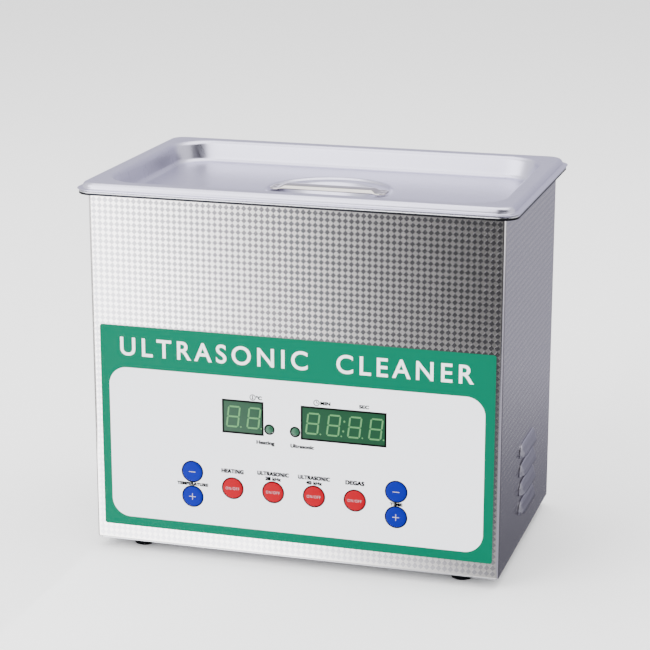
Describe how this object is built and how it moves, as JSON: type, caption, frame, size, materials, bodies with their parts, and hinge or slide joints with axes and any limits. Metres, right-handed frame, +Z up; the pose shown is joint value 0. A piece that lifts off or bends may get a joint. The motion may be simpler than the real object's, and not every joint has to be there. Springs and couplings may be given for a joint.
{
  "type": "ultrasonic cleaner",
  "caption": "Bench-top ultrasonic cleaner: drawn steel tank in an embossed case, lift-off lid with a finger dish, control panel with displays and sprung keys.",
  "frame": {"origin": "on the ground, at the centre of the bounding box, midway between the feet", "axes": "+Z up, +X to the right seen from the front, control panel faces -Y"},
  "size_m": [0.2804, 0.1774, 0.241],
  "materials": {
    "embossed_steel": "embossed diamond pattern",
    "brushed_steel": "satin",
    "polished_steel": "fine satin",
    "tank_steel": "drawn satin",
    "overlay_print": "printed polyester, green border",
    "smoked_window": "gloss",
    "display_body": "matte",
    "led_red": "gloss",
    "led_green": "gloss",
    "key_blue": "satin",
    "key_red": "satin",
    "black_rubber": "matte",
    "silicone": "matte",
    "circuit_board": "satin",
    "black_plastic": "fine texture",
    "screw_steel": "bright",
    "aluminium": "machined",
    "brass": "bright",
    "piezo_ceramic": "matte",
    "fuse_glass": "gloss",
    "capacitor_sleeve": "gloss",
    "ferrite": "matte",
    "coil_tape": "satin",
    "ribbon_grey": "satin"
  },
  "bodies": {
    "cleaner": {"back_mass_left": "screw_steel", "back_mass_right": "screw_steel", "base_plate": "brushed_steel", "board_screws": "screw_steel", "board_spacers": "brass", "bulk_capacitors": "capacitor_sleeve", "case_screws": "screw_steel", "case_wrap": "embossed_steel", "centre_bolt_left": "screw_steel", "centre_bolt_right": "screw_steel", "control_board": "circuit_board", "electrodes_left": "brass", "electrodes_right": "brass", "fan_frame": "black_plastic", "fan_screws": "screw_steel", "feet": "black_rubber", "foot_nuts": "screw_steel", "foot_screws": "screw_steel", "front_mass_left": "aluminium", "front_mass_right": "aluminium", "generator_board": "circuit_board", "generator_spacers": "brass", "heat_sink": "aluminium", "heater_pad": "silicone", "heating_led": "led_red", "inlet_pins": "brass", "key_switches": "black_plastic", "mains_inlet": "black_plastic", "output_choke": "ferrite", "panel_overlay": "overlay_print", "piezo_rings_left": "piezo_ceramic", "piezo_rings_right": "piezo_ceramic", "power_transistors": "black_plastic", "rear_panel": "brushed_steel", "ribbon_cable": "ribbon_grey", "switch_housing": "black_plastic", "tank": "tank_steel", "tank_seal": "silicone", "temperature_display": "display_body", "temperature_sensor": "aluminium", "temperature_window": "smoked_window", "timer_display": "display_body", "timer_window": "smoked_window", "transformer_coil": "coil_tape", "transformer_core": "ferrite", "ultrasonic_led": "led_green"},
    "lid": {"lid": "polished_steel", "lid_strap": "polished_steel"},
    "fan_rotor": {"fan_rotor": "black_plastic"},
    "rocker": {"rocker": "black_plastic"},
    "fuse_drawer": {"fuse_drawer": "black_plastic", "fuse": "fuse_glass"},
    "key_degas": {"key_degas": "key_red"},
    "key_heating": {"key_heating": "key_red"},
    "key_temp_minus": {"key_temp_minus": "key_blue"},
    "key_temp_plus": {"key_temp_plus": "key_blue"},
    "key_time_minus": {"key_time_minus": "key_blue"},
    "key_time_plus": {"key_time_plus": "key_blue"},
    "key_ultrasonic_high": {"key_ultrasonic_high": "key_red"},
    "key_ultrasonic_low": {"key_ultrasonic_low": "key_red"}
  },
  "joints": [
    {"name": "lid_lift", "type": "slide", "parent": "cleaner", "child": "lid", "axis": [0, 0, 1], "range_m": [0, 0.16]},
    {"name": "fan_spin", "type": "hinge", "parent": "cleaner", "child": "fan_rotor", "pos_m": [0.062, 0.0727, 0.059], "axis": [0, 1, 0], "continuous": true},
    {"name": "rocker_press", "type": "hinge", "parent": "cleaner", "child": "rocker", "pos_m": [-0.045, 0.08, 0.059], "axis": [-1, 0, 0], "range_deg": [0, 24]},
    {"name": "fuse_drawer_pull", "type": "slide", "parent": "cleaner", "child": "fuse_drawer", "axis": [0, 1, 0], "range_m": [0, 0.014]},
    {"name": "key_degas_press", "type": "slide", "parent": "cleaner", "child": "key_degas", "axis": [0, 1, 0], "range_m": [0, 0.0004], "stiffness_N_per_m": 600},
    {"name": "key_heating_press", "type": "slide", "parent": "cleaner", "child": "key_heating", "axis": [0, 1, 0], "range_m": [0, 0.0004], "stiffness_N_per_m": 600},
    {"name": "key_temp_minus_press", "type": "slide", "parent": "cleaner", "child": "key_temp_minus", "axis": [0, 1, 0], "range_m": [0, 0.0004], "stiffness_N_per_m": 600},
    {"name": "key_temp_plus_press", "type": "slide", "parent": "cleaner", "child": "key_temp_plus", "axis": [0, 1, 0], "range_m": [0, 0.0004], "stiffness_N_per_m": 600},
    {"name": "key_time_minus_press", "type": "slide", "parent": "cleaner", "child": "key_time_minus", "axis": [0, 1, 0], "range_m": [0, 0.0004], "stiffness_N_per_m": 600},
    {"name": "key_time_plus_press", "type": "slide", "parent": "cleaner", "child": "key_time_plus", "axis": [0, 1, 0], "range_m": [0, 0.0004], "stiffness_N_per_m": 600},
    {"name": "key_ultrasonic_high_press", "type": "slide", "parent": "cleaner", "child": "key_ultrasonic_high", "axis": [0, 1, 0], "range_m": [0, 0.0004], "stiffness_N_per_m": 600},
    {"name": "key_ultrasonic_low_press", "type": "slide", "parent": "cleaner", "child": "key_ultrasonic_low", "axis": [0, 1, 0], "range_m": [0, 0.0004], "stiffness_N_per_m": 600}
  ]
}
